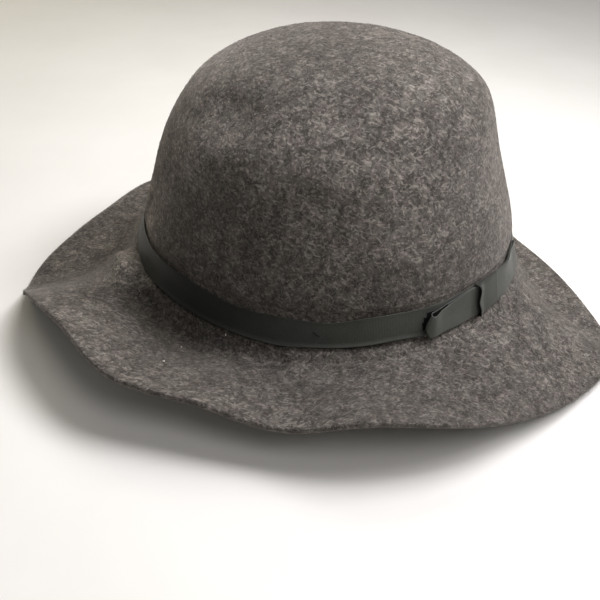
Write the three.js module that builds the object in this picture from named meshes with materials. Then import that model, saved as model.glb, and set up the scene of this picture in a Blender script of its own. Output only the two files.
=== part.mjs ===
// A wide-brim felt hat with a grosgrain ribbon and a flat tailored bow.
// Millimetres, +Z up. The hat's front points to -Y and the wearer's left is +X.
// The hat lies on its brim, which rests on z = 0.
import * as THREE from 'three';

const TURN = 2 * Math.PI;

// Felt
const FELT_THICKNESS = 2.2;
const FELT_COLOUR = 0x4a4548;

// Crown: sizes of the felt's outer surface, from the crease where crown and brim meet
const CROWN_HALF_LENGTH = 106;
const CROWN_HALF_WIDTH = 89;
const CROWN_HEIGHT = 110;
const CROWN_TAPER = 0.36;
const CROWN_TOP_POWER = 8.4;
const CROWN_SIDE_POWER = 2.3;
const CROWN_LEAN = { left: -3.5, back: 4.5 };

// How the hat sits: the crease's height over the floor, the lift of its back end and the dip of its left side
const CREASE_HEIGHT = 28;
const BACK_LIFT = THREE.MathUtils.degToRad(2.6);
const LEFT_DIP = THREE.MathUtils.degToRad(5.5);

// Soft forms of the crown, out (positive) or in: azimuth and height of the middle, half-spread round and up
const CROWN_FORMS = [
  { name: 'front_dimple', azimuth: 314, height: 93, out: -7, around: 15, up: 9 },
  { name: 'dimple_ridge', azimuth: 320, height: 76, out: 2.8, around: 16, up: 10 },
  { name: 'near_shoulder', azimuth: 352, height: 86, out: 2.5, around: 32, up: 10 },
  { name: 'top_slope', azimuth: 20, height: 98, out: -4.5, around: 45, up: 16 },
  { name: 'side_patch', azimuth: 6, height: 58, out: -1.0, around: 12, up: 12 },
  { name: 'front_swell', azimuth: 280, height: 62, out: 1.8, around: 24, up: 22 },
  { name: 'back_shoulder', azimuth: 98, height: 94, out: 3.0, around: 30, up: 12 },
  { name: 'back_hollow', azimuth: 80, height: 64, out: -2.6, around: 24, up: 18 },
];

// Brim, by azimuth in degrees (0 wearer's left, 90 back, 180 wearer's right, 270 front): width along the
// felt, height of the edge over the crease, how soon it gets there (0 late, 1 at the crown), and the depth
// of the hollow round the crown's foot, which is a ridge where it is negative
const BRIM = [
  { azimuth: 0, width: 49.5, rise: 9, flare: 0.0, hollow: 3 },
  { azimuth: 15, width: 52, rise: 16, flare: 0.0, hollow: 1 },
  { azimuth: 30, width: 52.5, rise: 9, flare: 0.0, hollow: 0 },
  { azimuth: 45, width: 51.5, rise: -7, flare: 0.2, hollow: 0 },
  { azimuth: 60, width: 57.5, rise: -20, flare: 0.5, hollow: 0 },
  { azimuth: 75, width: 64, rise: -25, flare: 0.8, hollow: 0 },
  { azimuth: 90, width: 63, rise: -42, flare: 1.0, hollow: 0 },
  { azimuth: 105, width: 60, rise: -46, flare: 1.0, hollow: 0 },
  { azimuth: 120, width: 55, rise: -41, flare: 0.9, hollow: 0 },
  { azimuth: 135, width: 52, rise: -31, flare: 0.6, hollow: 0 },
  { azimuth: 150, width: 51, rise: -18, flare: 0.3, hollow: 0 },
  { azimuth: 165, width: 50, rise: -11, flare: 0.1, hollow: 1 },
  { azimuth: 180, width: 50, rise: -8, flare: 0.0, hollow: 2 },
  { azimuth: 195, width: 50, rise: -8, flare: 0.0, hollow: 2 },
  { azimuth: 210, width: 52, rise: -15, flare: 0.2, hollow: 1 },
  { azimuth: 225, width: 55, rise: -25, flare: 0.6, hollow: 0 },
  { azimuth: 240, width: 60.5, rise: -28, flare: 1.0, hollow: 0 },
  { azimuth: 255, width: 57, rise: -31, flare: 1.0, hollow: 0 },
  { azimuth: 270, width: 58.5, rise: -30, flare: 1.0, hollow: 0 },
  { azimuth: 285, width: 62.5, rise: -20, flare: 0.9, hollow: 0 },
  { azimuth: 300, width: 57.5, rise: 10, flare: 0.5, hollow: 2 },
  { azimuth: 315, width: 57, rise: 22, flare: 0.1, hollow: 7 },
  { azimuth: 330, width: 60, rise: 20, flare: 0.0, hollow: 7.5 },
  { azimuth: 345, width: 52.5, rise: 16, flare: 0.0, hollow: 5 },
];

// Soft forms of the brim, up (positive) or down: azimuth and share of the width at the middle, half-spreads
const BRIM_FORMS = [
  { name: 'front_fold', azimuth: 293, share: 0.14, up: 11.5, around: 8.5, along: 0.12 },
  { name: 'behind_fold', azimuth: 273, share: 0.22, up: -7, around: 9, along: 0.16 },
];
const BRIM_CURVE = 1.3;
const FLOOR_SOFTNESS = 4;
const HOLLOW_SHARE = 0.18;
const CREASE_RADIUS = 3;

// Ribbon
const RIBBON_THICKNESS = 1;
const RIBBON_WIDTH = 15.5;
const RIBBON_BASE = 3.5;
const RIBBON_COLOUR = 0x2c302e;
const RIBBON_PRESS = 1.2;
const PRESS_SPREAD = { below: 2, above: 4 };
const GAP = 0.3;

// Bow: azimuth of its middle, half the length of its loops, ribbon width, space between a loop's layers at
// the knot and where it is open, how far along it is fully open, and how quickly its ends turn over
const BOW_AZIMUTH = 61;
const BOW_HALF_LENGTH = 39;
const BOW_WIDTH = 12.6;
const BOW_PINCH = 1.3;
const BOW_OPENING = 2.6;
const BOW_OPEN_SHARE = 0.75;
const BOW_END_TURN = 3;
const KNOT_LENGTH = 13;

// Steps of the meshes
const AROUND = 72;
const BRIM_STEPS = 10;
const BRIM_SPACING = 1.4;
const CROWN_STEPS = 18;
const FINE_STEPS = 400;
const BOW_STEPS = 32;

// A value from a table by azimuth, joined by a smooth curve that closes on itself
function around(rows, column, azimuth) {
  const step = 360 / rows.length;
  const place = (((azimuth % 360) + 360) % 360) / step;
  const first = Math.floor(place);
  const t = place - first;
  const at = (offset) => rows[(first + offset + rows.length) % rows.length][column];
  const [a, b, c, d] = [at(-1), at(0), at(1), at(2)];
  return b + 0.5 * t * (c - a + t * (2 * a - 5 * b + 4 * c - d + t * (3 * (b - c) + d - a)));
}

// How much a soft form counts at an azimuth and a level, from 0 to 1
function nearness(form, azimuth, level, middle, spread) {
  const turn = THREE.MathUtils.euclideanModulo(azimuth - form.azimuth + 180, 360) - 180;
  return Math.exp(-((turn / form.around) ** 2) - ((level - middle) / spread) ** 2);
}

// The crown's oval at the crease, as a radius
function ovalRadius(azimuth) {
  const angle = THREE.MathUtils.degToRad(azimuth);
  return 1 / Math.hypot(Math.cos(angle) / CROWN_HALF_WIDTH, Math.sin(angle) / CROWN_HALF_LENGTH);
}

// The hat as it was blocked, set down on its brim
function setDown(point) {
  point.applyAxisAngle(new THREE.Vector3(1, 0, 0), BACK_LIFT);
  point.applyAxisAngle(new THREE.Vector3(0, 1, 0), LEFT_DIP);
  point.z += CREASE_HEIGHT;
  return point;
}

// How far the ribbon presses into the felt at a height, from 0 to 1
function ribbonHold(height) {
  const { smoothstep } = THREE.MathUtils;
  const top = RIBBON_BASE + RIBBON_WIDTH;
  const belowTop = 1 - smoothstep(height, top, top + PRESS_SPREAD.above);
  return smoothstep(height, RIBBON_BASE - PRESS_SPREAD.below, RIBBON_BASE) * belowTop;
}

// A point of the crown's outer surface, by azimuth and height over the crease
function crownPoint(azimuth, height) {
  const angle = THREE.MathUtils.degToRad(azimuth);
  const share = Math.min(height / CROWN_HEIGHT, 1);
  const size = (1 - CROWN_TAPER * share) * (1 - share ** CROWN_TOP_POWER) ** (1 / CROWN_SIDE_POWER);
  let out = -RIBBON_PRESS * ribbonHold(height);
  for (const form of CROWN_FORMS) {
    out += form.out * nearness(form, azimuth, height, form.height, form.up);
  }
  const radius = ovalRadius(azimuth) * size + out * (1 - share ** CROWN_TOP_POWER);
  return setDown(new THREE.Vector3(
    radius * Math.cos(angle) + CROWN_LEAN.left * share,
    radius * Math.sin(angle) + CROWN_LEAN.back * share,
    height,
  ));
}

// A height kept on the felt's upper side, which flattens where the felt lies on the floor
function aboveFloor(height) {
  const over = height - FELT_THICKNESS;
  if (over <= -FLOOR_SOFTNESS) return FELT_THICKNESS;
  if (over >= FLOOR_SOFTNESS) return height;
  return FELT_THICKNESS + (over + FLOOR_SOFTNESS) ** 2 / (4 * FLOOR_SOFTNESS);
}

// A point of the brim's upper surface, by azimuth and share of its width
function brimPoint(azimuth, share) {
  const angle = THREE.MathUtils.degToRad(azimuth);
  const width = around(BRIM, 'width', azimuth);
  const rise = around(BRIM, 'rise', azimuth);
  const flare = around(BRIM, 'flare', azimuth);
  const early = 1 - (1 - share) ** 2;
  const late = share ** BRIM_CURVE;
  const inHollow = share / HOLLOW_SHARE;
  const hollow = around(BRIM, 'hollow', azimuth) * inHollow * Math.exp(1 - inHollow);
  let up = rise * (flare * early + (1 - flare) * late) - hollow;
  for (const form of BRIM_FORMS) {
    up += form.up * nearness(form, azimuth, share, form.share, form.along);
  }
  const reach = Math.sqrt(width ** 2 - rise ** 2) * share;
  const radius = ovalRadius(azimuth) + reach;
  const point = setDown(new THREE.Vector3(
    radius * Math.cos(angle),
    radius * Math.sin(angle),
    up,
  ));
  point.z = aboveFloor(point.z);
  return point;
}

// Heights of the crown's rows: both edges of the ribbon, then even steps along the surface to the top
function crownHeights() {
  const top = RIBBON_BASE + RIBBON_WIDTH;
  const middle = RIBBON_BASE + RIBBON_WIDTH / 2;
  const heights = [CREASE_RADIUS, RIBBON_BASE, middle, top, top + PRESS_SPREAD.above / 2];
  const start = top + PRESS_SPREAD.above;
  const fine = [{ height: start, run: 0, point: crownPoint(0, start) }];
  for (let i = 1; i <= FINE_STEPS; i += 1) {
    const last = fine.at(-1);
    const height = start + (CROWN_HEIGHT - start) * Math.sin((i / FINE_STEPS) * (Math.PI / 2));
    const point = crownPoint(0, height);
    fine.push({ height, point, run: last.run + point.distanceTo(last.point) });
  }
  for (let i = 0; i < CROWN_STEPS; i += 1) {
    const run = (fine.at(-1).run * i) / CROWN_STEPS;
    heights.push(fine.find((row) => row.run >= run).height);
  }
  return heights;
}

// A mesh geometry from points and triangles
function surface(points, triangles) {
  const geometry = new THREE.BufferGeometry();
  geometry.setFromPoints(points);
  geometry.setIndex(triangles.flat());
  geometry.computeVertexNormals();
  return geometry;
}

// The felt: rows from the brim's edge to the crown's top, closed by a lower side one thickness below
function feltGeometry() {
  const azimuths = Array.from({ length: AROUND }, (_, i) => (360 * i) / AROUND);
  const creaseShare = CREASE_RADIUS / around(BRIM, 'width', 0);
  const rows = [];
  for (let i = 0; i < BRIM_STEPS; i += 1) {
    const share = creaseShare + (1 - creaseShare) * (1 - i / (BRIM_STEPS - 1)) ** BRIM_SPACING;
    rows.push(azimuths.map((azimuth) => brimPoint(azimuth, share)));
  }
  for (const height of crownHeights()) {
    rows.push(azimuths.map((azimuth) => crownPoint(azimuth, height)));
  }
  const upper = rows.flat();
  upper.push(crownPoint(0, CROWN_HEIGHT));
  const count = upper.length;
  const at = (row, column) => row * AROUND + (column % AROUND);

  const triangles = [];
  for (let row = 0; row + 1 < rows.length; row += 1) {
    for (let column = 0; column < AROUND; column += 1) {
      triangles.push([at(row, column), at(row, column + 1), at(row + 1, column + 1)]);
      triangles.push([at(row, column), at(row + 1, column + 1), at(row + 1, column)]);
    }
  }
  for (let column = 0; column < AROUND; column += 1) {
    triangles.push([at(rows.length - 1, column), at(rows.length - 1, column + 1), count - 1]);
  }

  const normals = surface(upper, triangles).getAttribute('normal');
  const lower = upper.map((point, i) => {
    const normal = new THREE.Vector3().fromBufferAttribute(normals, i);
    const under = point.clone().addScaledVector(normal, -FELT_THICKNESS);
    const flat = point.z < FELT_THICKNESS + 0.001;
    under.z = flat ? 0 : Math.max(under.z, 0);
    return under;
  });
  const lowerTriangles = triangles.map(([a, b, c]) => [a + count, c + count, b + count]);
  const edge = [];
  for (let column = 0; column < AROUND; column += 1) {
    const a = at(0, column);
    const b = at(0, column + 1);
    edge.push([a, a + count, b + count], [a, b + count, b]);
  }
  return surface([...upper, ...lower], [...triangles, ...lowerTriangles, ...edge]);
}

// The crown's outward normal, from nearby points of its surface
function crownNormal(azimuth, height) {
  const sideways = crownPoint(azimuth + 0.5, height).sub(crownPoint(azimuth - 0.5, height));
  const upwards = crownPoint(azimuth, height + 0.5).sub(crownPoint(azimuth, height - 0.5));
  return sideways.cross(upwards).normalize();
}

// A point on or off the crown: height over the crease, and distance out from the felt
function offCrown(azimuth, height, out) {
  return crownPoint(azimuth, height).addScaledVector(crownNormal(azimuth, height), out);
}

// A closed ring through sections that are closed loops of points, listed so that its faces point out
function ring(sections) {
  const sides = sections[0].length;
  const at = (section, side) => (section % sections.length) * sides + (side % sides);
  const triangles = [];
  for (let section = 0; section < sections.length; section += 1) {
    for (let side = 0; side < sides; side += 1) {
      const corners = [
        at(section, side), at(section + 1, side),
        at(section + 1, side + 1), at(section, side + 1),
      ];
      triangles.push([corners[0], corners[1], corners[2]], [corners[0], corners[2], corners[3]]);
    }
  }
  return surface(sections.flat(), triangles);
}

// The ribbon round the crown's foot
function bandGeometry() {
  const inside = GAP;
  const outside = GAP + RIBBON_THICKNESS;
  const low = RIBBON_BASE;
  const middle = RIBBON_BASE + RIBBON_WIDTH / 2;
  const high = RIBBON_BASE + RIBBON_WIDTH;
  const sections = [];
  for (let i = 0; i < AROUND; i += 1) {
    const azimuth = (360 * i) / AROUND;
    sections.push([
      offCrown(azimuth, low, outside),
      offCrown(azimuth, middle, outside),
      offCrown(azimuth, high, outside),
      offCrown(azimuth, high, inside),
      offCrown(azimuth, middle, inside),
      offCrown(azimuth, low, inside),
    ]);
  }
  return ring(sections);
}

// Azimuth at a distance along the ribbon from the bow's middle, positive towards the back
function bowAzimuth(distance) {
  return BOW_AZIMUTH + THREE.MathUtils.radToDeg(distance / ovalRadius(BOW_AZIMUTH));
}

const BOW_LAYER = GAP + RIBBON_THICKNESS;
const BOW_HEIGHT = RIBBON_BASE + RIBBON_WIDTH / 2;

// The bow's middle surface at a distance along it: how far out it lies, and half the space between its layers
function bowSection(distance) {
  const { smoothstep } = THREE.MathUtils;
  const open = smoothstep(Math.abs(distance), KNOT_LENGTH / 2, BOW_HALF_LENGTH * BOW_OPEN_SHARE);
  const free = smoothstep(Math.abs(distance), KNOT_LENGTH / 2, KNOT_LENGTH);
  const half = (BOW_PINCH + (BOW_OPENING - BOW_PINCH) * open) / 2;
  const back = GAP + BOW_LAYER + RIBBON_THICKNESS / 2 + BOW_LAYER * (1 - free);
  return { half, middle: back + half };
}

// The loops: one ring of ribbon pressed flat, pinched at the middle and rounded at both ends
function bowGeometry() {
  const sections = [];
  for (let i = 0; i < BOW_STEPS; i += 1) {
    const angle = (TURN * i) / BOW_STEPS;
    const distance = BOW_HALF_LENGTH * Math.cos(angle);
    const { half, middle } = bowSection(distance);
    const side = THREE.MathUtils.clamp(Math.sin(angle) * BOW_END_TURN, -1, 1);
    const place = (thick, up) => offCrown(
      bowAzimuth(distance + thick * Math.sign(distance) * Math.sqrt(1 - side ** 2)),
      BOW_HEIGHT + up * (BOW_WIDTH / 2),
      middle + (half + thick) * side,
    );
    const [outer, inner] = [RIBBON_THICKNESS / 2, -RIBBON_THICKNESS / 2];
    sections.push([place(outer, -1), place(outer, 1), place(inner, 1), place(inner, -1)]);
  }
  return ring(sections.reverse());
}

// The knot: a short length of ribbon wrapped round the middle of the loops
function knotGeometry() {
  const { half, middle } = bowSection(0);
  const halfHeight = BOW_WIDTH / 2 + GAP + RIBBON_THICKNESS / 2;
  const halfOut = half + RIBBON_THICKNESS / 2 + GAP + RIBBON_THICKNESS / 2;
  const ends = [-KNOT_LENGTH / 2, 0, KNOT_LENGTH / 2];
  const sections = [];
  for (const [up, out] of [[1, 1], [-1, 1], [-1, -1], [1, -1]]) {
    const corner = (along, thick) => offCrown(
      bowAzimuth(along),
      BOW_HEIGHT + up * (halfHeight + thick),
      middle + out * (halfOut + thick),
    );
    const outer = ends.map((along) => corner(along, RIBBON_THICKNESS / 2));
    const inner = ends.map((along) => corner(along, -RIBBON_THICKNESS / 2));
    sections.push([...outer, ...inner.reverse()]);
  }
  return ring(sections);
}

function piece(name, geometry, material) {
  const mesh = new THREE.Mesh(geometry, material);
  mesh.name = name;
  return mesh;
}

const felt = new THREE.MeshStandardMaterial({ color: FELT_COLOUR, roughness: 0.95, metalness: 0 });
const ribbon = new THREE.MeshStandardMaterial({ color: RIBBON_COLOUR, roughness: 0.7, metalness: 0 });

const hat = new THREE.Group();
hat.add(
  piece('felt_body', feltGeometry(), felt),
  piece('ribbon_band', bandGeometry(), ribbon),
  piece('bow_loops', bowGeometry(), ribbon),
  piece('bow_knot', knotGeometry(), ribbon),
);

// The middle of the hat's box, seen from above, stands over the origin
const box = new THREE.Box3().setFromObject(hat);
const middle = box.getCenter(new THREE.Vector3());
hat.position.set(-middle.x, -middle.y, 0);

export default hat;
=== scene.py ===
"""A wide-brim wool felt hat with a grosgrain ribbon band and a flat tailored bow.

Metres, +Z up. The hat's front points to -Y and the wearer's left is +X.
"""

import math

import bmesh
import bpy
import numpy as np
from mathutils import Matrix, Vector, noise
from mathutils.bvhtree import BVHTree


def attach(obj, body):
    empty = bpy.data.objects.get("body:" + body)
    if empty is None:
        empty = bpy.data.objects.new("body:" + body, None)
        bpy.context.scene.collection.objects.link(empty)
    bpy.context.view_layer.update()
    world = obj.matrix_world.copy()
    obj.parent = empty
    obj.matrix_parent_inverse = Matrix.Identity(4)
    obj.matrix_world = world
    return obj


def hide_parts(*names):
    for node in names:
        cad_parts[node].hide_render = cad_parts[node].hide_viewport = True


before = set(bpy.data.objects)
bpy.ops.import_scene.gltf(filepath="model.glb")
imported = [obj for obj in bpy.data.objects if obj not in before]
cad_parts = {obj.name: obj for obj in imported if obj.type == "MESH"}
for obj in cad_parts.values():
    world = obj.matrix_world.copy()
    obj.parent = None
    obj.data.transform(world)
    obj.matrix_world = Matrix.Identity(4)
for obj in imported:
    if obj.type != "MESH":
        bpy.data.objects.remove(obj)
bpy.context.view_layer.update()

MM = 0.001
TINY = 1e-12

# Camera: where it stands, where it looks from, its tilt and its square angle of view
CAMERA_PLACE = Vector((0.3078, 0.0174, 0.2247))
CAMERA_AZIMUTH = math.radians(95.42)
CAMERA_ELEVATION = math.radians(38.29)
CAMERA_ROLL = math.radians(4.60)
CAMERA_VIEW = math.radians(50)
CAMERA_CLIP = 0.01

# Lights: their directions in shares of the camera's right, away from the camera and up, their distances from
# a point inside the hat, their diameters, powers and colours
LIGHT_TARGET = Vector((0, 0, 0.05))
LIGHTS = (
    {"name": "near_key", "right": 0.423, "away": 0, "up": 0.906,
     "distance": 0.5, "size": 0.25, "power": 2.3, "colour": (1.0, 0.98, 1.0)},
    {"name": "key", "right": 0.643, "away": 0, "up": 0.766,
     "distance": 1.5, "size": 0.5, "power": 8.0, "colour": (1.0, 0.98, 1.0)},
    {"name": "back_light", "right": 0, "away": 0.5, "up": 0.866,
     "distance": 0.6, "size": 0.25, "power": 1.2, "colour": (1.02, 0.98, 0.90)},
    {"name": "fill", "right": 0.32, "away": -0.56, "up": 0.766,
     "distance": 0.7, "size": 0.3, "power": 0.9, "colour": (1.0, 0.98, 0.97)},
    {"name": "rim_light", "right": -0.64, "away": 0.64, "up": 0.42,
     "distance": 1.0, "size": 0.4, "power": 0.95, "colour": (1.1, 0.97, 0.62)},
)

# The studio's even light, and how far the floor reaches
WORLD_COLOUR = (1.0, 0.975, 0.93, 1)
WORLD_STRENGTH = 0.18
FLOOR_REACH = 6

# How the crown stands: the middle of its foot, the lift of its back and the dip of its left side
CREASE_MIDDLE = np.array((0.0001, -0.0014, 0.028))
BACK_LIFT = math.radians(2.6)
LEFT_DIP = math.radians(5.5)
CROWN_TURN = np.array(Matrix.Rotation(LEFT_DIP, 3, "Y") @ Matrix.Rotation(BACK_LIFT, 3, "X"))

# Felt: how fine it is made, its sharp edges, and its slight unevenness, which starts and is full at some
# distances from the ribbon and from the floor
FELT_SUBDIVISIONS = 2
FELT_FITTINGS = 3
WELD_DISTANCE = 0.02 * MM
QUAD_BEND = math.radians(50)
SHARP_ANGLE = math.radians(58)
RIM_SHARPNESS = 0.55
SWELLS = (
    {"name": "slow", "size": 26 * MM, "height": 0.35 * MM},
    {"name": "lumps", "size": 7 * MM, "height": 0.16 * MM},
    {"name": "nap", "size": 2.2 * MM, "height": 0.10 * MM},
)
SWELLS_OFF_RIBBON = (1.5 * MM, 7 * MM)
SWELLS_OFF_FLOOR = (0, 5 * MM)

# Places where light and shade are painted on the felt, as a lighter or darker colour
FELT_PAINTED_LIGHT_AND_SHADE = (
    {"azimuth": 350, "height": 88 * MM, "radius": 60 * MM, "spread": 38 * MM, "change": 0.46},
    {"azimuth": 299, "height": 79 * MM, "radius": 67 * MM, "spread": 24 * MM, "change": 0.55},
    {"azimuth": 345, "height": 112 * MM, "radius": 14 * MM, "spread": 30 * MM, "change": -0.25},
    {"azimuth": 32, "height": 50 * MM, "radius": 80 * MM, "spread": 38 * MM, "change": 0.14},
    {"azimuth": 43, "height": 64 * MM, "radius": 76 * MM, "spread": 28 * MM, "change": 0.25},
    {"azimuth": 342, "height": 56 * MM, "radius": 72 * MM, "spread": 17 * MM, "change": -0.33},
    {"azimuth": 327, "height": 66 * MM, "radius": 71 * MM, "spread": 12 * MM, "change": -0.25},
    {"azimuth": 325, "height": 32 * MM, "radius": 84 * MM, "spread": 28 * MM, "change": -0.22},
    {"azimuth": 10, "height": 45 * MM, "radius": 77 * MM, "spread": 20 * MM, "change": -0.12},
    {"azimuth": 30, "height": 28 * MM, "radius": 83 * MM, "spread": 16 * MM, "change": -0.28},
    {"azimuth": 323, "height": -4 * MM, "radius": 102 * MM, "spread": 26 * MM, "change": -0.46},
    {"azimuth": 310, "height": 1 * MM, "radius": 115 * MM, "spread": 15 * MM, "change": -0.2},
    {"azimuth": 350, "height": 0, "radius": 93 * MM, "spread": 15 * MM, "change": -0.3},
    {"azimuth": 17, "height": 1 * MM, "radius": 93 * MM, "spread": 9 * MM, "change": -0.2},
    {"azimuth": 38, "height": 2 * MM, "radius": 96 * MM, "spread": 7 * MM, "change": 0.3},
    {"azimuth": 55, "height": 2 * MM, "radius": 99 * MM, "spread": 9 * MM, "change": 0.45},
    {"azimuth": 341, "height": 6 * MM, "radius": 125 * MM, "spread": 20 * MM, "change": -0.16},
    {"azimuth": 12, "height": 6 * MM, "radius": 122 * MM, "spread": 34 * MM, "change": -0.18},
    {"azimuth": 42, "height": -2 * MM, "radius": 131 * MM, "spread": 30 * MM, "change": -0.18},
    {"azimuth": 291, "height": 6 * MM, "radius": 109 * MM, "spread": 20 * MM, "change": 0.7},
    {"azimuth": 297, "height": 6 * MM, "radius": 109 * MM, "spread": 11 * MM, "change": 0.6},
    {"azimuth": 283, "height": 2 * MM, "radius": 106 * MM, "spread": 4 * MM, "change": 0.5},
    {"azimuth": 291.5, "height": 7.5 * MM, "radius": 112 * MM, "spread": 4 * MM, "change": 0.5},
    {"azimuth": 292, "height": 2 * MM, "radius": 119 * MM, "spread": 4 * MM, "change": 0.5},
    {"azimuth": 296.5, "height": 2 * MM, "radius": 120 * MM, "spread": 4 * MM, "change": 0.4},
    {"azimuth": 304, "height": 1 * MM, "radius": 106 * MM, "spread": 8 * MM, "change": -0.35},
    {"azimuth": 287, "height": 30 * MM, "radius": 92 * MM, "spread": 16 * MM, "change": 2.2},
    {"azimuth": 271, "height": -16 * MM, "radius": 124 * MM, "spread": 28 * MM, "change": 0.3},
)

# Places where light and shade are painted on the ribbon: darker on its side away from the lamps, lighter on its
# lit side
RIBBON_PAINTED_LIGHT_AND_SHADE = (
    {"azimuth": 325, "height": 9 * MM, "radius": 90 * MM, "spread": 32 * MM, "change": -0.6},
    {"azimuth": 22, "height": 9 * MM, "radius": 90 * MM, "spread": 30 * MM, "change": 0.5},
    {"azimuth": 60, "height": 9 * MM, "radius": 92 * MM, "spread": 24 * MM, "change": 0.35},
    {"azimuth": 47, "height": 9 * MM, "radius": 92 * MM, "spread": 14 * MM, "change": 0.45},
)

# Three headings of the flecks, as turns in radians
FLECK_HEADINGS = ((0.6, 0.3, 0), (1.7, 0.4, 0.9), (0.9, 1.9, 2.3))

# Where fibres stand: the brim ends at this height over the crease, its rim lies outside this radius, faces
# count as rim or upper side by how far up they point, the underside has a share of the fibres, and the lowest
# stretch is bare
BRIM_TOP = 3 * MM
RIM_RADIUS = 120 * MM
RIM_POINTS_UP = 0.55
UPPER_POINTS_UP = -0.2
UNDERSIDE_SHARE = 0.25
BARE_HEIGHT = 0.6 * MM

# How deep fibres are rooted, how close they come to the floor and the ribbon, and their needles' shape
FIBRE_ROOT = 0.03 * MM
FIBRE_FLOOR = 0.1 * MM
FIBRE_CLEARANCE = 0.9 * MM
NEEDLE_SIDES = 3
NEEDLE_TAPER = 0.55

FIBRE_LOOKS = (
    {"name": "pale_fibre", "level": 0.21, "spread": 0.4},
    {"name": "grey_fibre", "level": 0.10, "spread": 0.5},
    {"name": "bright_fibre", "level": 0.36, "spread": 0.3},
    {"name": "white_lint", "level": 0.75, "spread": 0.1},
)

# Fibres: their look, the part of the felt that they stand on, their number, length, width and rise over it,
# how much they bend in radians, the steps of each, how steeply they stand off the felt, and their seed
FIBRES = (
    {"name": "lying_fibres", "look": "pale_fibre", "on": "felt", "count": 10000, "length": 2.4 * MM,
     "width": 0.11 * MM, "lift": 0.14 * MM, "bend": 1.0, "steps": 3, "stand": 0, "seed": 11},
    {"name": "grey_fibres", "look": "grey_fibre", "on": "felt", "count": 16000, "length": 1.9 * MM,
     "width": 0.13 * MM, "lift": 0.12 * MM, "bend": 0.8, "steps": 2, "stand": 0, "seed": 14},
    {"name": "short_nap", "look": "pale_fibre", "on": "felt", "count": 20000, "length": 1.1 * MM,
     "width": 0.07 * MM, "lift": 0.05 * MM, "bend": 0.5, "steps": 2, "stand": 0.5, "seed": 12},
    {"name": "rim_fuzz", "look": "pale_fibre", "on": "rim", "count": 6000, "length": 1.5 * MM,
     "width": 0.08 * MM, "lift": 0.05 * MM, "bend": 0.6, "steps": 2, "stand": 0.6, "seed": 13},
    # Bright fibres along the crest: real fuzz, made bright as a painted highlight
    {"name": "crest_fuzz", "look": "bright_fibre", "on": "crest", "count": 3200, "length": 1.4 * MM,
     "width": 0.08 * MM, "lift": 0.1 * MM, "bend": 0.8, "steps": 2, "stand": 0.5, "seed": 16},
    {"name": "stray_hairs", "look": "pale_fibre", "on": "crown_spots", "count": 26, "length": 8 * MM,
     "width": 0.15 * MM, "lift": 0.5 * MM, "bend": 2.2, "steps": 6, "stand": 0.12, "seed": 15},
)

# White lint on the brim: how far it is turned, the curl's radius, height and rise by radian, and its places
LINT_TURN = 3.6
LINT_RADIUS = 0.35 * MM
LINT_HEIGHT = 0.25 * MM
LINT_RISE = 0.08 * MM
LINT_STEPS = 12
LINT_PLACES = (
    {"azimuth": 336.4, "height": 1 * MM, "radius": 91 * MM},
    {"azimuth": 327.8, "height": -4 * MM, "radius": 107 * MM},
    {"azimuth": 331.8, "height": 6 * MM, "radius": 124 * MM},
)

# Places of long loose hairs on the crown
HAIR_PLACES = (
    {"azimuth": 348.5, "height": 108.7 * MM, "radius": 25 * MM},
    {"azimuth": 1.4, "height": 54 * MM, "radius": 75 * MM},
    {"azimuth": 46.6, "height": 103 * MM, "radius": 40 * MM},
)
HAIR_SPREAD = 5 * MM

# Places of bright fuzz, partly real fuzz and partly a painted highlight: along the crest of the brim's front
# fold, and up the crown from it
CREST_PLACES = (
    {"azimuth": 283, "height": 2 * MM, "radius": 106 * MM},
    {"azimuth": 291.5, "height": 7.5 * MM, "radius": 112 * MM},
    {"azimuth": 292, "height": 2 * MM, "radius": 119 * MM},
    {"azimuth": 296.5, "height": 2 * MM, "radius": 120 * MM},
    {"azimuth": 286, "height": 24 * MM, "radius": 95 * MM},
    {"azimuth": 287, "height": 31 * MM, "radius": 92 * MM},
    {"azimuth": 288, "height": 38 * MM, "radius": 90 * MM},
    {"azimuth": 289, "height": 50 * MM, "radius": 85 * MM},
)
CREST_SPREAD = 4.5 * MM

# Ribbon: its ribs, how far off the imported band's inside it starts, its thickness, the least space to the felt
# and between layers, its width, the band's rows in shares of it, and its edges. Then how far the felt is
# searched for, and the steps of the curve along the band
RIB_PITCH = 0.72 * MM
RIB_HEIGHT = 0.05 * MM
RIB_STEPS = 4
RIB_ROUNDNESS = 0.7
RIBBON_INSIDE = 0.15 * MM
RIBBON_THICKNESS = 0.4 * MM
FELT_SPACE = 0.05 * MM
LAYER_SPACE = 0.05 * MM
BAND_WIDTH = 15.5 * MM
BAND_SHARES = (0, 0.012, 0.035, 0.07, 0.2, 0.35, 0.5, 0.65, 0.8, 0.93, 0.965, 0.99, 1)
EDGE_SHARE = 0.05
SELVEDGE = 0.07 * MM
SELVEDGE_RIBS = 0.3
UPPER_EDGE_THINNING = 0.65
LOWER_EDGE_ROLL = 0.3 * MM
FELT_SEARCH = 5 * MM
CURVE_STEPS = 2880

# The band's slight sway up and down: its length, its size in shares of the width, and its start in radians
SWAY_LENGTH = 47 * MM
SWAY_SIZE = 0.008
SWAY_START = 2

# Lines of the ribbon's edges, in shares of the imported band's width: where they lie, and where they stray from
# it, with spreads in degrees
LOWER_LINE = 0.03
UPPER_LINE = 0.96
EDGE_SHIFTS = (
    {"edge": "upper", "azimuth": 342, "up": -0.17, "spread": 15},
    {"edge": "upper", "azimuth": 6, "up": -0.17, "spread": 11},
    {"edge": "upper", "azimuth": 53, "up": 0.08, "spread": 8},
    {"edge": "lower", "azimuth": 350, "up": -0.12, "spread": 17},
    {"edge": "lower", "azimuth": 30, "up": 0.07, "spread": 9},
)

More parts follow.
